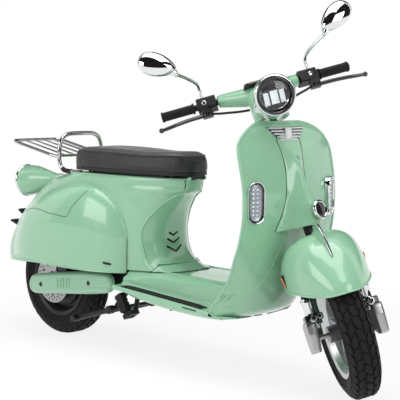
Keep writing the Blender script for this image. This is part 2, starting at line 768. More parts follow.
# Front panel: height, x of its spine from the steering foot, half width
PANEL = [(496, -189, 95), (510, -187, 90), (540, -185, 75), (575, -189, 62), (602, -213, 55),
         (640, -239, 50), (680, -254, 46), (708, -269, 47), (740, -290, 51), (775, -310, 57),
         (796, -322, 52)]
PANEL_STEPS, PANEL_WALL, PANEL_SEAM = 72, 2, 0.0016


def panel_row(s, back):
    """Row across the panel: hollow flanks up to a flat-topped spine, lifted at the bottom of the nose."""
    pts = []
    spine = lerp(0.32, 0.05, clamp((s[0] - 575) / 215))
    lift = 26 * max(0, 1 - (s[0] - PANEL[0][0]) / 60) ** 2
    for k in range(PANEL_STEPS + 1):
        t = 2 * k / PANEL_STEPS - 1
        y = t * s[2]
        flank = min(1, (1 - abs(t)) / (1 - spine))
        rise = 0.9 * flank ** 1.9 + 0.1 * (1 - min(1, abs(t) / spine) ** 2)
        base = shield_x(s[0], y) + 1
        ridge = max(base + 4, FOOT + s[1])
        x = base + 4 * (1 - abs(t) ** 8) + (ridge - base - 4) * rise - back
        pts.append(body_xyz(x, y, s[0] + lift * rise))
    return pts


def front_panel():
    stations = catmull(PANEL, 8)
    piece("panel_skin", skin(stations, panel_row, PANEL_WALL), "chassis", PAINT, "front_panel")
    outer = [panel_row(s, 0) for s in stations]
    for k, label in ((0, "r"), (-1, "l")):
        piece(f"panel_seam_{label}", sweep([r[k] for r in outer], PANEL_SEAM, 8), "chassis", SEAM)


front_panel()

# Inner shield: height, how far it stands behind the leg shield's edge
INNER = [(250, -46), (286, -14), (324, 34), (400, 36), (480, 49), (560, 66), (640, 66), (720, 62),
         (770, 53), (800, 52), (814, 52)]


def inner_row(s, forward):
    e = station(SHIELD, s[0])
    return [body_xyz(FOOT + e[1] - 2 * WALL - 0.4 + forward - s[1] * (1 - abs(c) ** 4),
                     c * SHIELD_HALF * e[2] * 0.985, s[0]) for c in across(64)]


piece("inner_skin", skin(catmull(INNER, 6), inner_row), "chassis", PAINT, "inner_shield")

# Floor: x, height over the floor line, half width of the tunnel, share of the rounding at its corners
FLOOR = [(470, -6, 96, 0), (560, -1, 100, 0), (700, 0, 104, 0.1), (840, -1, 110, 0.4),
         (925, 0, 116, 0.8), (968, 3, 120, 1)]
FLOOR_H, SILL, LEDGE_FALL = 316.0, 198.0, radians(3.8)
STRIPS = ((164, 500, 882), (183, 500, 880))
STRIP_SECTION = ((-6.5, 0), (-6.5, 0.5), (-5.4, 0.9), (-4, 1), (4, 1), (5.4, 0.9), (6.5, 0.5), (6.5, 0))
STRIP_STEPS = 120


def ledge_h(x):
    return 262 - (x - 468) * tan(LEDGE_FALL)


def floor_row(s, down):
    top, low, r = FLOOR_H + s[1], ledge_h(s[0]), s[2]
    half = [(0, top + 1), (r * 0.3, top + 0.7), (r * 0.5, top), (r * 0.85, top - 0.8), (r, top - 2),
            (r + 9, top - 4.5), (r + 18, top - 8), (min(r + 26, 138), top - 14),
            (min(r + 32, 141), top - 20), (143, low + 20), (146, low + 8), (151, low + 2),
            (156, low + 0.4), (161, low), (191, low), (196, low - 1.5), (SILL, low - 5), (SILL, low - 13)]
    return [body_xyz(s[0] - s[3] * 0.55 * max(0, abs(y) - 110), y * (1 - down * 0.004),
                     z - (down if abs(y) < SILL - 0.5 else 0)) for y, z in both_halves(half)]


def floor_pieces():
    piece("floor_skin", skin(catmull(FLOOR, 10), floor_row), "chassis", PAINT, "floorboard")
    strips = []
    for side in (-1, 1):
        for y, start, end in STRIPS:
            rows = []
            for k in range(STRIP_STEPS + 1):
                x = lerp(start, end, k / STRIP_STEPS)
                z = ledge_h(x) + 0.1
                taper = min(1.0, 6 * min(k, STRIP_STEPS - k) / STRIP_STEPS)
                h = 4.6 * sqrt(max(0.02, 1 - (1 - taper) ** 2)) - 0.35 * (k % 3 == 0)
                rows.append([body_xyz(x, side * y + q, z + v * h) for q, v in STRIP_SECTION])
            strips.append(tube_grid(rows))
    piece("floor_strip_rubber", strips, "chassis", RUBBER, "floor_strips")


floor_pieces()

# Belly pan: x, height of its bottom, half widths at the bottom and at the top, height of its top edge
BELLY = [(486, 240, 176, 197, ledge_h(486) - 13.5), (560, 226, 186, 197, ledge_h(560) - 13.5),
         (700, 211, 190, 197, ledge_h(700) - 13.5), (850, 203, 188, 197, ledge_h(850) - 13.5),
         (912, 202, 182, 195, ledge_h(912) - 17.5), (950, 202, 166, 172, 216), (982, 205, 140, 148, 214)]


def belly_row(s, up):
    x, low, bottom, wide, top = s
    half = [(0, low), (bottom * 0.55, low), (bottom - 14, low + 2), (bottom - 5, low + 4),
            (bottom, low + 8), (lerp(bottom, wide, 0.6), lerp(low + 8, top, 0.5)), (wide, top)]
    return [body_xyz(x, y * (1 - up * 0.005), min(z + up, top)) for y, z in both_halves(half)]


piece("belly_skin", skin(catmull(BELLY, 6), belly_row), "chassis", PAINT, "belly_pan")

# Wheels: places and widths across the tread are shares of the arc over the tyre
SHOULDER_ARC, SHOULDER_DROP = 55.0, 42
BEAD = [(RIM_R - 5, -36), (RIM_R + 4, -39), (RIM_R + 8, -41), (RIM_R + 9, -40.2), (RIM_R + 12, -42),
        (RIM_R + 22, -45.5)]
BLOCKS, BLOCK_LONG, BLOCK_SLANT = 36, 1.06, 0.34
ROW_APART, ROW_WIDE, LUG_AT, LUG_WIDE = 0.325, 0.268, 0.9, 0.13
GROOVE, SHOULDER_GROOVE = 5.5, 1.5
BLOCK_SHAPE = ((0.5, 0.29), (0, 0.5), (-0.5, 0.29), (-0.5, -0.29), (0, -0.5), (0.5, -0.29))
BLOCK_LAYERS = ((7.0, 1.04), (0.9, 0.94), (0.0, 0.82))
LUG_ROW = 3


def front_axle(x, y, z):
    return steer_xyz(HUB_U + x, y, HUB_W + z)


def rear_axle(x, y, z):
    return body_xyz(x, y, TYRE_R + z)


def tyre_profile(a):
    """Point (radius, y) of the tyre's outside at arc share a, -1 to 1."""
    flat = TYRE_FLAT / 2
    s = abs(a) * (flat + SHOULDER_ARC)
    if s < flat:
        return TYRE_R, copysign(s, a)
    t = (s - flat) / SHOULDER_ARC * pi / 2
    y = flat + (TYRE_W - TYRE_FLAT) / 2 * sin(t)
    return TYRE_R - SHOULDER_DROP + SHOULDER_DROP * cos(t), copysign(y, a)


def carcass(place):
    """The tyre under its tread, with moulded rings at its beads."""
    side = []
    for k in range(25):
        a = -1 + 2 * k / 24
        r, y = tyre_profile(a)
        cut = GROOVE if abs(a) < 0.74 else (SHOULDER_GROOVE if abs(a) < 0.8 else 0)
        side.append((r - cut, y * (1 - cut * 0.004)))
    prof = BEAD + side + [(r, -y) for r, y in reversed(BEAD)]
    rows = [[place(r * cos(t), y, r * sin(t)) for r, y in prof] for t in angles(128)]
    return grid(rows, True, False, True)


def tread(place):
    """Rows of slanted six-sided blocks, with lugs on both shoulders."""
    verts, faces = [], []
    length = 2 * pi / BLOCKS * BLOCK_LONG
    n = len(BLOCK_SHAPE)
    for row in range(-LUG_ROW, LUG_ROW + 1):
        lug = abs(row) == LUG_ROW
        mid, width = (copysign(LUG_AT, row), LUG_WIDE) if lug else (row * ROW_APART, ROW_WIDE)
        slant = BLOCK_SLANT * (1 if row % 2 else -1)
        for k in range(BLOCKS):
            t0 = 2 * pi * (k + 0.5 * (row % 2)) / BLOCKS
            base = len(verts)
            for depth, grow in BLOCK_LAYERS:
                for hs, ht in BLOCK_SHAPE:
                    r, y = tyre_profile(max(-1, min(1, mid + hs * width * grow)))
                    t = t0 + (ht * 0.98 + hs * slant) * length * grow
                    y = y * (1 - depth * 0.002) + copysign((1.6 if depth < 2 else -2) * lug, y)
                    verts.append(place((r - depth) * cos(t), y, (r - depth) * sin(t)))
            for ring in (base, base + n):
                for j in range(n):
                    a, b = ring + j, ring + (j + 1) % n
                    faces.append((a, b, b + n, a + n))
            faces.append(tuple(base + 2 * n + j for j in range(n)))
    return mesh_from(verts, faces)


# Discs: inner and outer radius, thickness; rings of holes as radius, offset, hole radius, every how many
DISC_IN, DISC_OUT, DISC_T, HOLE_STEPS = 30, 90, 4.0, 24
DISC_HOLES = ((79, 0, 3.2, 1), (69, 0.5, 3.2, 1), (59, 0, 5.5, 2))


def disc_piece(label, place, y):
    """Drilled brake disc; y is its outer face."""
    low, edge = y - DISC_T, DISC_OUT - 0.8
    prof = [(DISC_IN, low), (DISC_IN, y), (edge, y), (DISC_OUT, y - 0.8), (DISC_OUT, low + 0.8),
            (edge, low), (DISC_IN, low)]
    plate = lathe(prof, lambda x, z, h: place(x, h, z), 180)
    o = piece(f"{label}_disc_plate", plate, f"{label}_wheel", DISC_STEEL, f"{label}_disc", smooth=30)
    cutters = []
    for k in range(HOLE_STEPS):
        for ring, offset, hole, every in DISC_HOLES:
            if k % every:
                continue
            a = 2 * pi * (k + offset) / HOLE_STEPS
            cx, cz = ring * cos(a), ring * sin(a)
            cutters.append(lathe([(0, -9), (hole, -9), (hole, 9), (0, 9)],
                                 lambda x, z, h: place(cx + x, y - DISC_T / 2 + h, cz + z), 14))
    carve(o, cutters)


for label, place in (("front", front_axle), ("rear", rear_axle)):
    rubber = [carcass(place), tread(place)]
    piece(f"{label}_tyre_rubber", rubber, f"{label}_wheel", TYRE, f"{label}_tyre", smooth=32)
disc_piece("front", front_axle, 70)
disc_piece("rear", rear_axle, -64)

# Front fender: u, height of its top, share of the half width, height of its hem
FENDER_HALF, FENDER_LIP, FENDER_STEPS = 126.0, 0.0033, 80
FENDER = [(-52, 486, 0.96, 404), (-20, 502, 1.01, 394), (30, 518, 1.03, 377), (80, 521, 0.99, 362),
          (125, 512, 0.91, 349), (165, 488, 0.80, 335), (201, 449, 0.65, 322), (230, 400, 0.48, 312),
          (249, 357, 0.31, 306.5), (259, 334, 0.18, 305), (263, 317, 0.08, 304.4),
          (264.5, 307, 0.02, 304)]


def fender_row(s, inset):
    half, rise = FENDER_HALF * s[2] - inset, s[1] - inset - s[3]
    t = clamp((s[0] - 60) / 190)
    e = 2 / lerp(3.2, 2.3, t * t * (3 - 2 * t))
    arc = [pi * k / FENDER_STEPS for k in range(FENDER_STEPS + 1)]
    return [steer_xyz(s[0] - inset * 0.4, -spow(cos(a), e) * half, s[3] + rise * max(0, sin(a)) ** e)
            for a in arc]


def fender_piece():
    stations = catmull(FENDER, 8)
    piece("fender_skin", skin(stations, fender_row), "steering", PAINT, "fender")
    rim = open_edge([fender_row(s, 0) for s in stations])
    piece("fender_lip", sweep(rim, FENDER_LIP, 10), "steering", PAINT)


fender_piece()

# Crest on the fender: a fin, a chrome blade on it and a dark line along the blade
CREST = [(104, 540), (138, 536), (165, 524), (190, 494), (210, 456), (222, 424)]
FIN = ((0, 3.5, 15), (0.25, 3.2, 9), (0.5, 3, 4.6), (0.75, 2.8, 2), (1.0, 2.8, 0))
BLADES = (("crest_blade", 0.8, 6.6, 4.4, CHROME), ("crest_line", 3.4, 2.1, 2.6, BLACK_GLOSS))
BLADE_SIDES, FIN_LEAN = 14, 6


def crest_pieces():
    line = catmull(CREST, 10)
    fin = []
    for u, w in line:
        foot = station(FENDER, u - FIN_LEAN)[1] - 2
        full = max(0.0, (CREST[-1][0] - u) / (CREST[-1][0] - CREST[0][0])) ** 0.6
        fin.append(steer_line(mirrored([(lerp(u - FIN_LEAN, u, t), thin + thick * full, lerp(foot, w, t))
                                        for t, thin, thick in FIN])))
    piece("crest_fin", tube_grid(fin), "steering", PAINT, "fender_crest")
    n = len(line)
    for name, lift, width, depth, mat in BLADES:
        blade = []
        for k, (u, w) in enumerate(line):
            a, b = line[max(k - 1, 0)], line[min(k + 1, n - 1)]
            d = Vector((b[0] - a[0], b[1] - a[1])).normalized()
            out = Vector((-d.y, d.x))
            taper = (0.5 + 0.5 * min(1, k / 6)) * lerp(1, 0.45, k / (n - 1))
            row = []
            for t in angles(BLADE_SIDES):
                h = lift + depth * taper * sin(t)
                row.append(steer_xyz(u + out.x * h, width * taper * cos(t), w + out.y * h))
            blade.append(row)
        piece(name, tube_grid(blade), "steering", mat)


crest_pieces()

# Side reflectors of the fender: place along and up, and the boxes of their frames and lenses
REFLECTOR_U, REFLECTOR_W = 36, 408
REFLECTOR_FRAME, REFLECTOR_LENS = (20, 9, 44), (15, 13, 37)


def reflectors():
    frames, lenses = [], []
    for side in (-1, 1):
        m = steer_matrix(REFLECTOR_U, side * (FENDER_HALF + 2.5), REFLECTOR_W) @ turned("X", side * -8)
        frames.append(box_mesh(REFLECTOR_FRAME, m, 3.0))
        lenses.append(box_mesh(REFLECTOR_LENS, m @ Matrix.Translation((0, side * 0.0008, 0)), 3.5))
    piece("reflector_frames", frames, "steering", BLACK_GLOSS)
    piece("reflector_lenses", lenses, "steering", AMBER_PLASTIC, "fender_reflectors")


reflectors()

# Headset cover, headlight and dash
BAR_MID, BAR_END = Vector((-62, 0, 1046)), Vector((-126, 324, 1062))
BAR_DIR = (BAR_END - BAR_MID).normalized()
LIGHT_U, LIGHT_W = 160, 957
HEADSET_VOXEL, HEADSET_ROUNDS = 0.0028, 14
HEADSET_STACK = (((4, 0, 920), 58, 8), ((-30, 0, 1034), 34, 13), ((-26, 0, 1022), 54, 8))
HEADSET_CUT = [(0, -78), (25, -78), (25, -64), (39, -64), (55, -12), (55, 40), (0, 40)]


def bar_axis(side):
    """Direction of the bar outwards on a side, in the steering frame."""
    return Vector((BAR_DIR.x, side * BAR_DIR.y, BAR_DIR.z))


def on_bar(side, y):
    p = BAR_MID + BAR_DIR * (y / BAR_DIR.y)
    return Vector((p.x, side * p.y, p.z))


def light_xyz(x, y, z):
    """Headlight frame: z along its level axis, x up-down, y across."""
    u = LIGHT_U + z * cos(RAKE) - x * sin(RAKE)
    w = LIGHT_W - z * sin(RAKE) - x * cos(RAKE)
    return steer_xyz(u, y, w)


def ball_points(c, r):
    pts = []
    for i in range(1, 12):
        p = pi * i / 12
        for q in angles(24):
            v = Vector(c) + r * Vector((sin(p) * cos(q), sin(p) * sin(q), cos(p)))
            pts.append(steer_xyz(*v))
    return pts


def ring_points(c, r, h, place=steer_xyz):
    return [place(c[0] + r * cos(a), c[1] + r * sin(a), c[2] + k) for a in angles(48) for k in (0, h)]


def headset():
    parts = [hull_mesh([p for ring in HEADSET_STACK for p in ring_points(*ring)])]
    for side in (-1, 1):
        d = bar_axis(side)
        e1 = d.cross(Vector((0, 0, 1))).normalized()
        e2 = d.cross(e1)
        end = on_bar(side, 137)
        collar = [end + 20 * (cos(a) * e1 + sin(a) * e2) for a in angles(32)]
        arm = ball_points((-34, side * 30, 1022), 34) + ball_points(on_bar(side, 118), 21)
        parts.append(hull_mesh(arm + steer_line(collar)))
    parts.append(hull_mesh(ring_points((0, 0, -22), 63, 14, light_xyz) + ball_points((45, 0, 998), 44)
                           + ball_points((14, 0, 964), 50)))
    o = piece("headset_skin", parts, "steering", PAINT, "headset_cover", smooth=50)
    weld(o, HEADSET_VOXEL, HEADSET_ROUNDS)
    carve(o, [lathe(HEADSET_CUT, light_xyz, 72)])


headset()

BEZEL = [(54, -8), (65, -8), (65.8, -3), (66, 2), (65.8, 6), (64.8, 9), (63.2, 11.2), (61.6, 12.2),
         (60.2, 12.2), (58.8, 11), (58.1, 9), (57.7, 4.2), (54, 4), (54, -8)]
DISH = [(0, -60), (20, -60), (36, -58), (53, -9), (53.4, 6), (52.4, 7.5), (51.6, 6), (50.5, -8),
        (34, -52), (0, -54)]
LAMP_RING = [(42, -9), (53.6, -9), (53.6, 4.3), (57.3, 4.5), (57.8, 9), (57.5, 12), (56.3, 13.6),
             (54.6, 13.8), (52.6, 12.4), (50.4, 8.6), (48.4, 3.4), (42, -3), (42, -9)]
CRESCENT = ((42.6, -3.2), (46.8, 1.0), (46.8, 2.3), (42.6, -1.7))
LENS_BACK = [(0, 8.4), (26, 6.4), (45.4, 2.2), (46.6, 3.2)]
LENS_R, LENS_FOOT, LENS_RISE = 47, 3.6, 8.4
LAMP_PANELS, PANEL_APART, LAMP_BAR = ((-1, 15), (0, 24), (1, 15)), 25.2, 0.0007


def lamp_panel(y, half_w, top, foot, h, hollow, thick):
    """Curved panel in the lamp, dished towards its middle, as a slab."""
    face = []
    for i in range(9):
        v = 2 * i / 8 - 1
        depth = h - hollow * (1 - v * v)
        face.append([light_xyz(lerp(top, foot, q / 8), y + v * half_w, depth) for q in range(9)])
    back = light_xyz(0, 0, -thick) - light_xyz(0, 0, 0)
    return two_walls(face, [[p + back for p in r] for r in face])


def headlight():
    piece("bezel_ring", lathe(BEZEL, light_xyz, 128), "steering", CHROME, "headlight_bezel")
    piece("lamp_dish", lathe(DISH, light_xyz, 96), "steering", BLACK_GLOSS, "headlight_body")
    piece("lamp_ring", lathe(LAMP_RING, light_xyz, 96), "steering", BLACK_GLOSS)
    blocks, leds, bars = [], [], []
    for k, w in LAMP_PANELS:
        y = k * PANEL_APART
        drop = 2.5 * abs(k)
        leds.append(lamp_panel(y, w / 2, -13 + drop, 29, -12, 3.0, 3))
        blocks.append(lamp_panel(y, w / 2 + 2.0, -15 + drop, 31, -15.5, 0.0, 24))
        for x in (-3.5, 21):
            bars.append(sweep([light_xyz(x, y + t * (w / 2 - 1), -11.4 - 3 * (1 - t * t))
                               for t in (-1, -0.5, 0, 0.5, 1)], LAMP_BAR, 8))
    piece("lamp_blocks", blocks, "steering", BLACK_GLOSS)
    piece("lamp_leds", leds, "steering", LED)
    piece("lamp_bars", bars, "steering", CHROME)
    rows = []
    for k in range(33):
        a = radians(lerp(-58, 58, k / 32))
        rows.append([light_xyz(r * cos(a), r * sin(a), h) for r, h in CRESCENT])
    piece("lamp_crescent", tube_grid(rows), "steering", CHROME)
    dome = [(LENS_R * cos(radians(a)), LENS_FOOT + LENS_RISE * sin(radians(a)))
            for a in range(8, 91, 8)]
    glass = LENS_BACK + dome + [(0, LENS_FOOT + LENS_RISE)]
    piece("lamp_glass", lathe(glass, light_xyz, 96), "steering", GLASS, "headlight_lens")


headlight()

DASH_TILT = radians(-12)
DASH_CORNERS = ((1, 1, 0), (-1, 1, 90), (-1, -1, 180), (1, -1, 270))


def tilted(place, x0, z0, tilt):
    """Placing about a point x0, z0, with the x and z axes tipped by an angle."""
    c, s = cos(tilt), sin(tilt)
    return lambda x, y, z: place(x0 + x * c + z * s, y, z0 - x * s + z * c)


dash_xyz = tilted(steer_xyz, -26, 1046, DASH_TILT)


def dash_plate(half_x, half_y, r, low, high, bevel):
    """Plate with round corners of radius r and a bevelled top edge."""
    rows = []
    edge = bevel * 0.3
    for inset, z in ((0, low), (0, high - bevel), (edge, high - edge), (bevel, high), (r * 0.9, high)):
        ring = []
        for qx, qy, start in DASH_CORNERS:
            for k in range(9):
                a = radians(start + 90 * k / 8)
                ring.append(dash_xyz(qx * half_x + (r - inset) * cos(a),
                                     qy * half_y + (r - inset) * sin(a), z))
        rows.append(ring)
    return tube_grid(rows)


piece("dash_case", dash_plate(24, 40, 16, -0.2, 6.8, 2.2), "steering", BLACK_GLOSS, "instrument_panel")
piece("dash_glass", dash_plate(18, 33, 10, 6.2, 7.6, 0.8), "steering", BLACK_GLOSS, slot="lens")
piece("dash_rim", dash_plate(21, 37, 14, 6.1, 7.2, 0.6), "steering", CHROME)


# Grips, levers and mirrors on the bar
def bar_frame(side, y):
    """Matrix on the bar: z outwards along the bar."""
    z = bar_axis(side)
    x = Vector((0, 0, 1)).cross(z).normalized()
    m = Matrix.Identity(4)
    for k, v in enumerate((x, z.cross(x), z)):
        m.col[k][:3] = v
    return steer_matrix(*on_bar(side, y)) @ m


GRIP_START = [(11.1, 0), (17, 0), (18.6, 1), (19, 3), (18.6, 5), (17, 6.2), (15, 7.2)]
GRIP_RIB = ((14.6, 0), (15.8, 1), (16, 2.4), (15.8, 3.8), (14.6, 4.8))
GRIP_END = [(15, 104), (16.6, 104.6), (17.4, 106), (17.4, 109.5), (16, 111.4), (12, 112), (0, 112)]
GRIP_AT, GRIP_RIBS, RIB_APART = 216, 15, 6.2
GRIP_NODES = (("steering", "grip_left"), ("throttle_grip", "throttle_grip"))


def grips():
    ribs = [(r, 10 + k * RIB_APART + h) for k in range(GRIP_RIBS) for r, h in GRIP_RIB]
    prof = GRIP_START + ribs + GRIP_END
    for (side, label), (body, node) in zip(SIDES, GRIP_NODES):
        mesh = lathe(prof, on_frame(bar_frame(side, GRIP_AT)), 40)
        piece(f"grip_rubber_{label}", mesh, body, RUBBER, node)


grips()

LEVER_PIVOT = (-58, 190, 1012)
LEVER = [(0, 0, 0), (2, 26, -1), (10, 62, -4), (20, 104, -10), (22, 134, -14), (22, 158, -16)]
LEVER_EYE = [(0, -4.1), (10.4, -4.1), (11, -3.4), (11, 3.4), (10.4, 4.1), (0, 4.1)]


def at_point(p):
    """Places millimetres about a point, along the row frame's axes."""
    return lambda x, y, z: p + Vector((x, y, z)) / 1000


def levers():
    line = [tuple(a + b for a, b in zip(LEVER_PIVOT, p)) for p in catmull(LEVER, 8)]
    n = len(line)
    radii = [lerp(0.0082, 0.0064, k / (n - 1)) for k in range(n)]
    for side, label in SIDES:
        pts = steer_line(flip(line, side))
        eye = steer_matrix(*flip([LEVER_PIVOT], side)[0])
        parts = [sweep(pts, radii, 16, flat=0.9, up=Vector((0.2, 0.1, 1))),
                 lathe(ball(8.4, 12), at_point(pts[-1]), 24), lathe(LEVER_EYE, on_frame(eye), 28)]
        lever = f"lever_{label}"
        piece(f"lever_blade_{label}", parts, lever, BLACK_GLOSS, lever, slot="black_metal")


levers()

STEM = [(-98, 184, 1068), (-96, 184, 1092), (-88, 184, 1110), (-66, 190, 1124), (-30, 220, 1140),
        (0, 254, 1154)]
STEM_NUT = [(0, 0), (8, 0), (8.2, 1), (8.2, 9), (7.4, 11), (6, 12), (5.2, 14), (0, 14)]
NECK = [(3, 257, 1157), (8, 265, 1170), (13, 273, 1183)]
NECK_RADII = [0.0118 - 0.0001 * min(k, 8) for k in range(11)]
MIRROR_AT, MIRROR_ROLL = (8, 304, 1199), radians(31)
MIRROR_RINGS = [(-0.25, 0.93), (-0.1, 0.99), (0, 1), (0.3, 0.955), (0.6, 0.8), (0.82, 0.57),
                (0.95, 0.31), (1, 0.1)]
MIRROR_GLASS = ((-0.2, 0.9), (-0.262, 0.9), (-0.262, 0.45), (-0.262, 0.05))
MIRROR_HALF, MIRROR_HIGH, MIRROR_DEEP = 64, 39, 26
STEM_R, MIRROR_EDGE = 0.0052, 0.0018


def mirror_ring(side, depth, share):
    """Rounded egg outline, a little fuller at the outer end, at a share of the depth and of the size."""
    ring = []
    for a in angles(56):
        c = cos(a)
        y = share * MIRROR_HALF * spow(c, 0.94)
        z = share * MIRROR_HIGH * spow(sin(a), 0.92) * (0.98 + 0.24 * c - 0.14 * c * c)
        y2 = y * cos(MIRROR_ROLL) - z * sin(MIRROR_ROLL)
        z2 = y * sin(MIRROR_ROLL) + z * cos(MIRROR_ROLL)
        x = MIRROR_AT[0] + depth * MIRROR_DEEP
        ring.append(steer_xyz(x, side * (MIRROR_AT[1] + y2), MIRROR_AT[2] + z2))
    return ring


def mirrors():
    stems = []
    for side, _ in SIDES:
        stems.append(sweep(steer_line(flip(catmull(STEM, 10), side)), STEM_R, 16))
        stems.append(lathe(STEM_NUT, on_frame(steer_matrix(-98, side * 184, 1062)), 6))
        stems.append(lathe(ball(8.5, 14), at_point(steer_xyz(*flip(STEM, side)[-1])), 28))
    piece("mirror_stem_tubes", stems, "steering", CHROME, "mirror_stems")
    for side, label in SIDES:
        body = f"mirror_{label}"
        shell = tube_grid([mirror_ring(side, d, f) for d, f in catmull(MIRROR_RINGS, 4)])
        neck = sweep(steer_line(catmull(flip(NECK, side), 5)), NECK_RADII, 20)
        piece(f"mirror_shell_{label}", [shell, neck], body, CHROME, f"mirror_{label}")
        glass = tube_grid([mirror_ring(side, d, f) for d, f in MIRROR_GLASS])
        piece(f"mirror_glass_{label}", glass, body, MIRROR)
        edge = mirror_ring(side, -0.25, 0.925)
        piece(f"mirror_rim_{label}", sweep(edge, MIRROR_EDGE, 8, True), body, BLACK_GLOSS)


mirrors()

# Turn signals on the leg shield: rings of half width, half height and distance out of the shield
SIGNAL_Y, SIGNAL_Z, SIGNAL_TURN, SIGNAL_GROW = 186, 593, radians(22), 2.6
SIGNAL_RIM = ((23.4, 58.4, -5), (27.6, 62.6, -5), (27.8, 62.8, 6), (27.2, 62.2, 10.4), (26, 61, 12.6),
              (24.6, 59.6, 12.2), (23.4, 58.4, 10), (23.4, 58.4, -5))
SIGNAL_DARK = ((23.2, 58.2, 0), (23.2, 58.2, 8), (21.6, 56.6, 9.4), (20, 55, 8.6), (18.6, 53.6, 1),
               (3, 38, 0.8))
SIGNAL_BED = ((18, 53, 1.4), (17.6, 52.6, 3.4), (15.6, 50.6, 2.2), (3, 38, 2.0))
SIGNAL_LENS = ((19.4, 54.4, 5.6), (19.6, 54.6, 8.6), (17.6, 52.6, 10.6), (13, 48, 11.8), (6, 41, 12.4),
               (1, 36, 12.5), (1, 36, 10.9), (13, 48, 10.2), (18, 53, 7))
DOT_COLUMNS, DOT_ROWS, DOT_APART, DOT_OUT = (-8, 8), 7, 13, 2.2
SIGNAL_DOT = [(0, -0.4), (4.6, -0.4), (4.8, 0.8), (3.8, 2.2), (2, 3.0), (0, 3.2)]


def signals():
    sx = shield_x(SIGNAL_Z, SIGNAL_Y)
    c, s = cos(SIGNAL_TURN), sin(SIGNAL_TURN)
    rims, darks, lenses, beds, dots = [], [], [], [], []
    for side, _ in SIDES:
        def place(a, b, h):
            """a up the lamp, b across it, h out of the shield."""
            return body_xyz(sx + h * c + b * s, side * (SIGNAL_Y + h * s - b * c), SIGNAL_Z + a)

        def pill(half_b, half_a, h):
            half_b, half_a = half_b + SIGNAL_GROW, half_a + SIGNAL_GROW
            pts = []
            for k in range(48):
                t = pi * k / 24
                up = half_a - half_b if sin(t) >= 0 else half_b - half_a
                pts.append(place(up + half_b * sin(t), half_b * cos(t), h))
            return pts

        def pills(rings):
            return [pill(*ring) for ring in rings]
        rims.append(grid(pills(SIGNAL_RIM), True))
        darks.append(tube_grid(pills(SIGNAL_DARK)))
        beds.append(tube_grid(pills(SIGNAL_BED)))
        for b in DOT_COLUMNS:
            for k in range(DOT_ROWS):
                a = (k - DOT_ROWS // 2) * DOT_APART
                h = DOT_OUT
                o = place(a, b, h)
                e = [place(a + 1, b, h) - o, place(a, b + 1, h) - o, place(a, b, h + 1) - o]
                dots.append(lathe(SIGNAL_DOT, lambda x, y, z: o + e[0] * x + e[1] * y + e[2] * z, 16))
        lenses.append(tube_grid(pills(SIGNAL_LENS)))
    piece("signal_rims", rims, "chassis", CHROME, "chrome_trim")
    piece("signal_darks", darks, "chassis", BLACK_GLOSS)
    piece("signal_lenses", lenses, "chassis", GLASS, "lamp_lenses")
    piece("signal_reflectors", beds, "chassis", LAMP_BED)
    piece("signal_leds", dots, "chassis", CHROME)


signals()

# Winged trim and round dome on the front: heights and half widths of the bars and of their bed
TRIM_BARS = ((817.5, 92), (808.5, 81), (799.5, 70), (790.5, 58), (782, 45))
TRIM_SECTION = ((-3.5, 0), (-3.5, 2.6), (-2.2, 4.6), (0, 5.4), (2.2, 4.6), (3.5, 2.6), (3.5, 0))
TRIM_STEPS = 56
TRIM_BED = [(780, 40), (794, 62), (808, 78), (821, 92)]
NOSE_RING = [(24, -5), (30, -5), (31.6, -2), (32, 1), (31, 4), (28.6, 5.8), (26, 5.6), (24, 3.6),
             (24, -5)]
NOSE_DOME = [(0, -4), (24.2, -4), (24.2, 1.6), (22, 3.2), (16, 4.8), (8, 5.7), (0, 6)]


def trim_x(z, y):
    """The shield's face, filled out towards its edges."""
    return max(shield_x(z, y), shield_x(z, 0) - 6)


def front_trim():
    bars = []
    for z, half in TRIM_BARS:
        rows = []
        for k in range(TRIM_STEPS + 1):
            t = 2 * k / TRIM_STEPS - 1
            y = half * t
            base = trim_x(z, y)
            fat = min(1.0, 12 * (1 - abs(t)) + 0.12)
            rows.append([body_xyz(base + 3 + dx, y, z + dz * fat) for dz, dx in TRIM_SECTION])
        bars.append(tube_grid(rows))
    block = at_body(shield_x(799, 0) + 7, 0, 799, "Y", -4)
    piece("trim_block", box_mesh((8, 27, 42), block, 3.0, 4), "chassis", ENAMEL)
    piece("trim_bars", bars, "chassis", CHROME)
    bed = []
    for z, half in catmull(TRIM_BED, 6):
        line = [half * (k / 20 - 1) for k in range(41)]
        bed.append([body_xyz(trim_x(z, y) + 4.6, y, z) for y in line])
    under = [[p - Vector((0.0016, 0, 0)) for p in r] for r in bed]
    piece("trim_bed", two_walls(bed, under), "chassis", DARK_METAL)
    nose_xyz = tilted(body_xyz, FOOT - 182, 568, radians(72))
    piece("nose_ring", lathe(NOSE_RING, nose_xyz), "chassis", CHROME)
    piece("nose_dome", lathe(NOSE_DOME, nose_xyz), "chassis", BLACK_GLOSS)


front_trim()

# Tail lamp
TAIL_LONG = 209
TAIL = [(0, 20), (0.2, 23), (0.32, 30), (0.5, 41), (0.72, 54), (0.9, 59), (1, 60)]
TAIL_RIM = [(57, 209), (60, 208), (62.2, 210), (63, 213), (62.4, 216.4), (60.4, 218), (58, 217.4),
            (57, 215), (57, 209)]
TAIL_LENS_R = 56.9
TAIL_GLOW = [(0, 209.2), (50, 209.2), (48, 211), (0, 212)]
lamp_xyz = tilted(body_xyz, -18, 590, radians(-95))


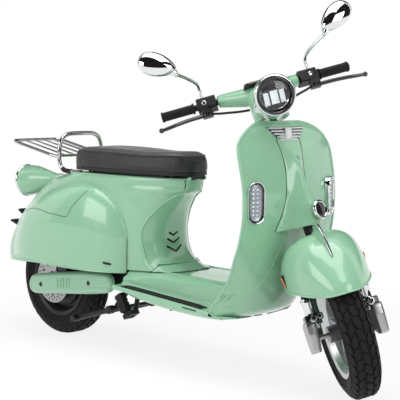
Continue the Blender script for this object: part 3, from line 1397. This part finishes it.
def tail_lamp():
    shell = [(0, 0)] + [(r, h * TAIL_LONG) for h, r in catmull(TAIL, 8)] + [(0, TAIL_LONG)]
    piece("tail_shell", lathe(shell, lamp_xyz, 96), "chassis", PAINT, "tail_housing")
    piece("tail_rim", lathe(TAIL_RIM, lamp_xyz, 96), "chassis", CHROME)
    dome = [(TAIL_LENS_R * cos(radians(a)), 214 + 12 * sin(radians(a))) for a in range(0, 91, 10)]
    lens = [(0, 209.4), (TAIL_LENS_R, 209.4)] + dome
    piece("tail_lens", lathe(lens, lamp_xyz, 80), "chassis", RED_LENS)
    piece("tail_reflector", lathe(TAIL_GLOW, lamp_xyz, 48), "chassis", RED_PLASTIC)


tail_lamp()

# Rear rack: the hoop, the rim round the slats, and the slope from the hoop back
RACK_FOOT = DECK - 4
RACK_X, RACK_Z, RACK_END, RACK_END_Z = 82, 682, -181, 733
RACK_BAR = 68
HOOP_R, RACK_RIM_R, RACK_BAR_R = 0.008, 0.006, 0.005
SLATS, SLAT_WIDE, SLAT_THICK = (-69, -23, 23, 69), 9, 5.6
HOOP = [(205, -104, RACK_FOOT), (150, -104, RACK_FOOT), (112, -104, RACK_FOOT + 2),
        (91, -104, RACK_FOOT + 14), (82, -104, RACK_FOOT + 38), (82, -104, 690), (82, -103, 712),
        (82, -97, 738), (82, -83, 756), (82, -60, 765), (82, -30, 767)]
RACK_RIM = ((82, -106), (50, -114), (22, -116), (-60, -116), (-140, -116), (-166, -112))
SLEEVE = [(150, RACK_FOOT), (128, RACK_FOOT + 0.6), (112, RACK_FOOT + 2), (100, RACK_FOOT + 8)]
RACK_PAD = [(0, -10), (9, -10), (9, 4), (8, 6), (0, 6)]


def rack_z(x):
    return lerp(RACK_Z, RACK_END_Z, (RACK_X - x) / (RACK_X - RACK_END))


def rack():
    hoop = body_line(catmull(mirrored(HOOP), 5))
    rim = [(x, y, rack_z(x)) for x, y in RACK_RIM]
    rim += [(-178, -100, RACK_END_Z - 1), (RACK_END, -82, RACK_END_Z)]
    bar = [body_xyz(RACK_BAR, y, rack_z(RACK_BAR)) for y in (-107, 107)]
    parts = [sweep(hoop, HOOP_R, 18, up=Vector((0.92, 0.23, 0.31))),
             sweep(body_line(catmull(mirrored(rim), 5)), RACK_RIM_R, 16, up=Vector((0.1, 0.1, 0.99))),
             sweep(bar, RACK_BAR_R)]
    tilt = degrees(atan2(RACK_END_Z - RACK_Z, RACK_X - RACK_END))
    mid = (RACK_BAR + RACK_END) / 2
    long = hypot(RACK_BAR - RACK_END - 4, rack_z(RACK_END) - rack_z(RACK_BAR))
    for y in SLATS:
        m = at_body(mid, y, rack_z(mid) + 3.2, "Y", tilt)
        parts.append(box_mesh((long, SLAT_WIDE, SLAT_THICK), m, 2.2))
    piece("rack_tubes", parts, "chassis", RACK_CHROME, "rear_rack")
    feet = []
    for side in (-1, 1):
        feet.append(lathe(RACK_PAD, on_frame(at_body(186, side * 100, DECK - 14)), 24))
        path = [body_xyz(x, side * 104, z) for x, z in catmull(SLEEVE, 6)]
        feet.append(sweep(path, [0.0086 + 0.0004 * sin(k) for k in range(len(path))], 18))
    piece("rack_feet", feet, "chassis", RUBBER)


rack()

# Seat: outline as shares of its length and half width, section as shares of its height and insets
SEAT_REAR, SEAT_LEN, SEAT_HALF, CUSHION_Z, CUSHION_H = 157.0, 536.0, 124.0, 651.2, 72.0
SEAT_PLAN = [(0, 0.42), (0.005, 0.60), (0.02, 0.80), (0.06, 0.94), (0.14, 1.0), (0.28, 1.005),
             (0.42, 1.0), (0.66, 0.90), (0.84, 0.74), (0.94, 0.57), (0.985, 0.40), (1, 0.22)]
CUSHION = ((0, 10), (0.03, 4), (0.12, 0.5), (0.3, 0), (0.55, 1), (0.74, 3), (0.86, 7), (0.94, 14),
           (0.985, 24), (1, 38), (1, 62), (1, 90))
SKIRT = ((6, 643), (3.4, 643), (2.8, 646), (3.4, 655), (6, 657))
SEAM_Z, SEAM_SHARE, SEAM_INSET = CUSHION_Z + 0.885 * CUSHION_H, 0.75, 8.4
CLOTH_FRAMES, CLOTH_CAP, CUSHION_VOXEL, PIPING_R = 20, 0.004, 0.005, 0.0021


def seat_ring(inset, z):
    pts = [(SEAT_REAR + inset + s * (SEAT_LEN - 2 * inset), -w * (SEAT_HALF - inset), z)
           for s, w in catmull(SEAT_PLAN, 5)]
    return mirrored(pts)


def seat_rise(x):
    """Slight dish where the rider sits, a low kick-up towards the pillion and a rounded nose."""
    t = (x - SEAT_REAR) / SEAT_LEN
    q = clamp((t - 0.925) / 0.075)
    nose = 24.0 * (1 - sqrt(1 - q * q))
    return -5.0 * exp(-((t - 0.68) / 0.2) ** 2) + 1.0 * exp(-((t - 0.25) / 0.2) ** 2) - nose


def raised_ring(inset, z, share):
    """Ring of the cushion that follows a share of the rise of its top."""
    return [body_xyz(x, y, zz + (seat_rise(x) - 3) * share) for x, y, zz in seat_ring(inset, z)]


def swell(o):
    """Blows the cover up by cloth simulation, with its hem pinned and each point's way capped."""
    rest = [v.co.copy() for v in o.data.vertices]
    pins = o.vertex_groups.new(name="pin")
    hem = (CUSHION_Z + 4) / 1000
    pins.add([v.index for v in o.data.vertices if v.co.z < hem], 1.0, "REPLACE")
    mod = o.modifiers.new("cloth", "CLOTH")
    st = mod.settings
    st.quality, st.mass = 6, 0.4
    st.tension_stiffness = st.compression_stiffness = 40
    st.bending_stiffness = 2.0
    st.use_pressure, st.uniform_pressure_force = True, 4.0
    st.vertex_group_mass = "pin"
    st.effector_weights.gravity = 0
    mod.collision_settings.use_collision = False
    mod.point_cache.frame_start, mod.point_cache.frame_end = 1, CLOTH_FRAMES
    for f in range(1, CLOTH_FRAMES + 1):
        bpy.context.scene.frame_set(f)
    dg = bpy.context.evaluated_depsgraph_get()
    blown = [v.co.copy() for v in o.evaluated_get(dg).data.vertices]
    o.modifiers.clear()
    bpy.context.scene.frame_set(1)
    for v, a, b in zip(o.data.vertices, rest, blown):
        d = b - a
        if d.length > CLOTH_CAP:
            d = d.normalized() * CLOTH_CAP
        v.co = a + d


def seat():
    rows = [raised_ring(inset, CUSHION_Z + share * CUSHION_H, share ** 2) for share, inset in CUSHION]
    o = piece("cushion_cover", tube_grid(rows), "seat", VINYL, "seat_cushion", smooth=60)
    weld(o, CUSHION_VOXEL)
    swell(o)
    soften(o, 6)
    mod = o.modifiers.new("fine", "SUBSURF")
    mod.levels = mod.render_levels = 1
    apply_mods(o)
    me = o.data
    me.shade_smooth()
    me.materials.append(VINYL_TOP)
    for p in me.polygons:
        seam_z = SEAM_Z + (seat_rise(p.center.x * 1000 + MID_X) - 3) * SEAM_SHARE
        p.material_index = int(p.center.z * 1000 > seam_z and p.normal.z > 0.2)
    seam = [o.closest_point_on_mesh(p)[1] for p in raised_ring(SEAM_INSET, SEAM_Z, SEAM_SHARE)]
    piping = sweep([p + Vector((0, 0, 0.0004)) for p in seam], PIPING_R, 8, True)
    piece("seat_piping", piping, "seat", VINYL)
    piece("seat_skirt", grid([body_line(seat_ring(*ring)) for ring in SKIRT], True), "seat", PLASTIC)


seat()

# Fork legs: rings of a boot as height, offsets and half sizes
FORK_U, FORK_Y = 82.0, 92.0
BOOT = ((170, -2, 16, 13, 13), (172, -2, 16, 17, 16), (188, -2, 16, 19, 17), (226, 3, 14, 25, 20),
        (254, 4, 14, 27, 20), (264, 4, 14, 24, 18))
FORK_TUBE = [(12.6, 240), (16, 240), (16, 318), (17.4, 320), (18, 323), (18, 330), (17, 334), (14, 336),
             (12.6, 336), (12.6, 240)]
AXLE_NUT = [(0, -60), (7.5, -60), (7.5, 0), (11, 0), (11.4, 1), (11.4, 3), (10.4, 5.2), (6, 5.4),
            (5.6, 4), (0, 4)]
CLAMPS = (((54, 46, 25), (5, 2, 272)), ((30, 26, 21), (16, -20, 274)))
FORK_BOLTS = (((31.5, 0, 272), 8.0, 8), ((30.5, -20, 274), 6.6, 7))
STRUT_TOP, BOOT_VOXEL, BOOT_ROUNDS = 346, 0.0022, 8


def boot_mesh(side):
    pts = []
    for w, u, y, hu, hy in BOOT:
        for a in angles(40):
            pts.append(steer_xyz(FORK_U + u + hu * spow(cos(a), 0.5),
                                 side * (FORK_Y + y + hy * spow(sin(a), 0.5)), w))
    for a in angles(32):
        for y in (FORK_Y - 8, FORK_Y + 22):
            pts.append(steer_xyz(HUB_U + 19 * cos(a), side * y, HUB_W + 19 * sin(a)))
    return hull_mesh(pts)


def fork_legs():
    boots, tubes, struts, clamps, bolts, nuts = [], [], [], [], [], []
    for side, _ in SIDES:
        def at_leg(u, y, w):
            return steer_matrix(FORK_U + u, side * (FORK_Y + y), w)
        boots.append(boot_mesh(side))
        tubes.append(lathe(FORK_TUBE, on_frame(at_leg(0, 0, 0)), 40))
        low = 252 if side < 0 else 306
        struts.append(box_mesh((20, 13, STRUT_TOP - low), at_leg(4, -22, (STRUT_TOP + low) / 2), 4.0))
        clamps += [box_mesh(size, at_leg(*at), 5.0) for size, at in CLAMPS]
        bolts += [bolt(at_leg(*at) @ turned("Y", 90), r, h) for at, r, h in FORK_BOLTS]
        axle = steer_matrix(HUB_U, side * (FORK_Y + 20), HUB_W) @ turned("X", -side * 90)
        nuts.append(lathe(AXLE_NUT, on_frame(axle), 24))
    o = piece("fork_boots", boots, "fork", BOOT_ALLOY, "fork_sliders", smooth=50)
    weld(o, BOOT_VOXEL, BOOT_ROUNDS)
    o.data.shade_smooth()
    o.data.materials.append(BLACK_GLOSS)
    for p in o.data.polygons:
        side = 1 if (p.center - STEER_FOOT).dot(STEER_ACROSS) > 0 else -1
        p.material_index = int(p.normal.dot(STEER_ACROSS) * side < -0.62)
    piece("fork_tubes", tubes, "fork", CHROME)
    piece("fork_struts", struts, "fork", PAINT_DEEP)
    piece("fork_clamps", clamps, "fork", BLACK_GLOSS, slot="black_metal")
    piece("fork_bolts", bolts, "fork", CHROME)
    piece("fork_axle_nuts", nuts, "fork", STEEL)


STEER_FOOT = steer_xyz(0, 0, 0)
STEER_ACROSS = steer_matrix(0, 0, 0).col[1].to_3d()
STEER_UP = steer_matrix(0, 0, 0).col[2].to_3d()
fork_legs()

# Swingarm covers: outline, and the insets and distances of their rounded edge
COVER = [(-52, 196), (-46, 174), (-22, 163), (127, 180), (292, 199), (390, 216), (404, 240), (402, 270),
         (380, 288), (265, 282), (127, 261), (-24, 238), (-46, 222)]
COVER_EDGE = ((0, 122), (0, 134), (0.6, 137), (2.4, 140), (7, 145), (9.5, 147), (12.5, 148), (15, 148.3))
COVER_CORNER, CORNER_STEPS, COVER_FACE, COVER_RIBS = 26, 5, 148, 5
COVER_SCREWS = ((26, 205), (292, 241))
COVER_CUP = [(0, 0.7), (6, 0.7), (7.6, 1.0), (8.6, 0.5), (8.8, -2), (0, -2)]


def round_outline(pts):
    """Closed outline with its corners rounded off."""
    out = []
    m = len(pts)
    for k in range(m):
        p = Vector(pts[k])
        a, b = (Vector(pts[k - 1]) - p), (Vector(pts[(k + 1) % m]) - p)
        s = p + a.normalized() * min(COVER_CORNER, a.length * 0.48)
        e = p + b.normalized() * min(COVER_CORNER, b.length * 0.48)
        for j in range(CORNER_STEPS + 1):
            t = j / CORNER_STEPS
            out.append((1 - t) ** 2 * s + 2 * t * (1 - t) * p + t * t * e)
    return out


def inset_outline(pts, d):
    """Outline that runs anticlockwise, moved inwards."""
    out = []
    for k in range(len(pts)):
        t = (pts[(k + 1) % len(pts)] - pts[k - 1]).normalized()
        out.append(pts[k] + Vector((-t.y, t.x)) * d)
    return out


def swing_covers():
    shape = round_outline(COVER)
    shells, ribs, cups = [], [], []
    for side, _ in SIDES:
        shells.append(tube_grid([[body_xyz(p.x, side * y, p.y) for p in inset_outline(shape, d)]
                                 for d, y in COVER_EDGE]))
        for k in range(COVER_RIBS):
            m = at_body(123 + k * 16, side * COVER_FACE, 221 + k * 2, "Y", -6)
            ribs.append(box_mesh((5.5, 7, 34), m, 2.4, 4))
        for x, z in COVER_SCREWS:
            m = at_body(x, side * (COVER_FACE + 0.4), z, "X", -90 * side)
            cups.append(lathe(COVER_CUP, on_frame(m), 28))
    piece("cover_shells", shells, "swingarm", PAINT, "swing_covers", smooth=35)
    piece("cover_ribs", ribs, "swingarm", PAINT)
    piece("cover_cups", cups, "swingarm", BLACK_PAINT, slot="black_metal")


swing_covers()

# Lines, slots and small fittings on the bodywork, with the radii of the lines in metres
SEAM_R, GAP_R, CREASE_R, BASE_R, VENT_R = 0.0011, 0.0016, 0.0036, 0.003, 0.0032
LID = [(-60, 0.33), (-14, 0.40), (48, 0.50), (110, 0.587), (165, 0.622), (206, 0.642), (226, 0.63),
       (246, 0.528), (274, 0.397), (295, 0.244)]
SLOT_SHAPE = ((-1, 0.0008), (-0.92, 0.0026), (-0.7, 0.0042), (0, 0.0048), (0.7, 0.0042), (0.92, 0.0026),
              (1, 0.0008))


def body_lines():
    seams, slots = [], []
    for side, _ in SIDES:
        def on_cowl(x, share):
            """At x along the cowl and a share of the way from its top edge to its hem."""
            return cowl_xyz(station(COWL_STATIONS, x), pi / 2 * share, side)
        seams.append(sweep([on_cowl(x, a) for x, a in catmull(LID, 10)], SEAM_R, 8))
        d = (on_cowl(418, 0.95) - on_cowl(402, 0.95)).normalized()
        path = [on_cowl(410, 0.95) + d * t * 0.017 for t, _ in SLOT_SHAPE]
        slots.append(sweep(path, [r for _, r in SLOT_SHAPE], 12, flat=0.9))
    piece("cowl_lid_seams", seams, "chassis", SEAM)
    piece("cowl_slots", slots, "chassis", BLACK_PAINT)


body_lines()

FLOOR_EDGE = [(604, 104, 4), (640, 103, 0), (700, 104, -2.4), (784, 107, -3), (860, 111, -2.6),
              (925, 116, -1.4), (946, 118, 0)]
LOW_SEAM = [(466, 289), (500, 290), (541, 292), (560, 300), (578, 312), (594, 324), (602, 342)]
CAP_GAP = [(668, 628), (668, 612), (664, 594)]


def body_y(x, z):
    """Half width of the body shell at a point of its side, from the level's outline."""
    lv = BODY_LEVELS
    zs = [lerp(s[1], s[0], clamp((x - s[2]) / (s[4] - s[2]))) for s in lv]
    k = 0
    while k < len(lv) - 2 and z > zs[k + 1]:
        k += 1
    t = clamp((z - zs[k]) / (zs[k + 1] - zs[k]))
    s = [lerp(p, q, t) for p, q in zip(lv[k], lv[k + 1])]
    f = clamp((x - s[3]) / (s[4] - s[3]))
    return BODY_HALF * (1 - f ** s[5]) ** (1 / s[5])


def side_line(pts, side, n=6):
    return [body_xyz(x, side * body_y(x, z), z) for x, z in catmull(pts, n)]


def front_line(z, x_from, n=24):
    """Line round the front of the pillar at a height, from one side to the other."""
    s = station(BODY_LEVELS, z)
    reach = s[4] - s[3]
    a0 = acos(max(0, (x_from - s[3]) / reach) ** (s[5] / 2))
    pts = []
    for k in range(n + 1):
        a = lerp(-a0, a0, k / n)
        x = s[3] + cos(a) ** (2 / s[5]) * reach
        pts.append(body_xyz(x, spow(sin(a), 2 / s[5]) * BODY_HALF, z))
    return pts


def pillar_lines():
    beads, seams, gaps = [], [], []
    for side, _ in SIDES:
        edge = [body_xyz(x, side * y, FLOOR_H + z) for x, y, z in catmull(FLOOR_EDGE, 8)]
        beads.append(sweep(side_line(CREASE, side, 8) + edge, CREASE_R, 12))
        seams.append(sweep(side_line(LOW_SEAM, side), SEAM_R, 8))
        gaps.append(sweep(side_line(CAP_GAP, side), GAP_R, 8))
    beads.append(sweep(front_line(340, 596), BASE_R, 10))
    piece("pillar_creases", beads, "chassis", PAINT)
    piece("pillar_seams", seams, "chassis", SEAM)
    piece("nose_cap_gaps", gaps, "chassis", BLACK_PAINT)


pillar_lines()

SHIELD_FINS, SHIELD_VENTS = ((196, 279), (185, 284), (173, 288)), ((102, 68), (52, 16))
SHIELD_CREASE = [(37, 491), (57, 443), (81, 391), (103, 352), (121, 319), (133, 294), (147, 272),
                 (160, 256), (178, 245)]


def sill_details():
    fins, slots = [], []
    for side, _ in SIDES:
        def on_shield(y, z, out):
            return body_xyz(shield_x(z, y) + out, side * y, z)
        for y, z in SHIELD_FINS:
            pts = [(y + 5 - t * 10, z - 15 + t * 28) for t in (0, 0.25, 0.5, 0.75, 1)]
            fins.append(sweep([on_shield(a, b, 0.6) for a, b in catmull(pts, 3)],
                              [0.0012 + 0.0036 * sin(pi * j / 12) for j in range(13)], 12))
        line = [on_shield(a, b, -0.6) for a, b in catmull(SHIELD_CREASE, 6)]
        n = len(line)
        radii = [0.001 + 0.0028 * min(1, 4 * min(j, n - 1 - j) / n) for j in range(n)]
        fins.append(sweep(line, radii, 12))
        for a, b in SHIELD_VENTS:
            vent = [on_shield(lerp(a, b, t), 210 - 2.4 * t, 0.4) for t in (0, 0.2, 0.4, 0.6, 0.8, 1)]
            slots.append(sweep(vent, VENT_R, 10, flat=0.7))
        m = at_body(838, side * 197.5, ledge_h(838) - 9, "Y", 3.8)
        slots.append(box_mesh((62, 3, 4.5), m, 1.2))
    piece("sill_fins", fins, "chassis", PAINT)
    piece("sill_slots", slots, "chassis", BLACK_PAINT)


sill_details()

SPOT = [(0, -1), (7.4, -1), (7.6, 0.6), (6.6, 1.4), (4, 1.8), (0, 1.9)]


def switch_details():
    spots = []
    for side, _ in SIDES:
        out = Matrix.Translation((-side * 0.0242, 0.004, 0.006)) @ turned("Y", -side * 90)
        spots.append(lathe(SPOT, on_frame(bar_frame(side, 174) @ out), 28))
    piece("switch_spots", spots, "steering", SILVER_DOT)


switch_details()

# Materials of the CAD nodes that stay in view
CAD_LOOK = (
    (BLACK_PAINT, "main_frame shock_shrouds steering_stem handlebar front_caliper swingarm rear_rim"),
    (BLACK_PAINT, "centre_stand"),
    (PLASTIC, "storage_bucket battery_pack inner_fender seat_base switch_right switch_left turn_switch"),
    (RUBBER, "footrest_right footrest_left"),
    (CHROME, "ignition_lock"),
    (ALLOY, "front_rim"),
    (STEEL, "shock_rods"),
    (DARK_METAL, "rear_caliper"),
    (YELLOW_PLASTIC, "horn_button"),
    (RED_PLASTIC, "start_button"),
)
HUB = steer_xyz(HUB_U, 0, HUB_W)

for mat, names in CAD_LOOK:
    for name in names.split():
        me = NODES[name].data
        me.materials.clear()
        me.materials.append(mat)
        for p in me.polygons:
            p.material_index = 0
        round_off(me, 32)


def repaint(node, mat, test):
    """Gives a second material to the faces of a CAD node that pass the test."""
    me = NODES[node].data
    me.materials.append(mat)
    for p in me.polygons:
        if test(p.center):
            p.material_index = len(me.materials) - 1


def on_hub(p):
    """Near the axle and outside the middle of the wheel."""
    d = p - HUB
    along = d.dot(STEER_ACROSS)
    return (d - STEER_ACROSS * along).length < 0.03 and abs(along) > 0.0115


repaint("steering_stem", PAINT, lambda p: (p - STEER_FOOT).dot(STEER_UP) > 0.86)
repaint("storage_bucket", PAINT, lambda p: p.x > 0.06)
repaint("front_rim", HUB_METAL, on_hub)
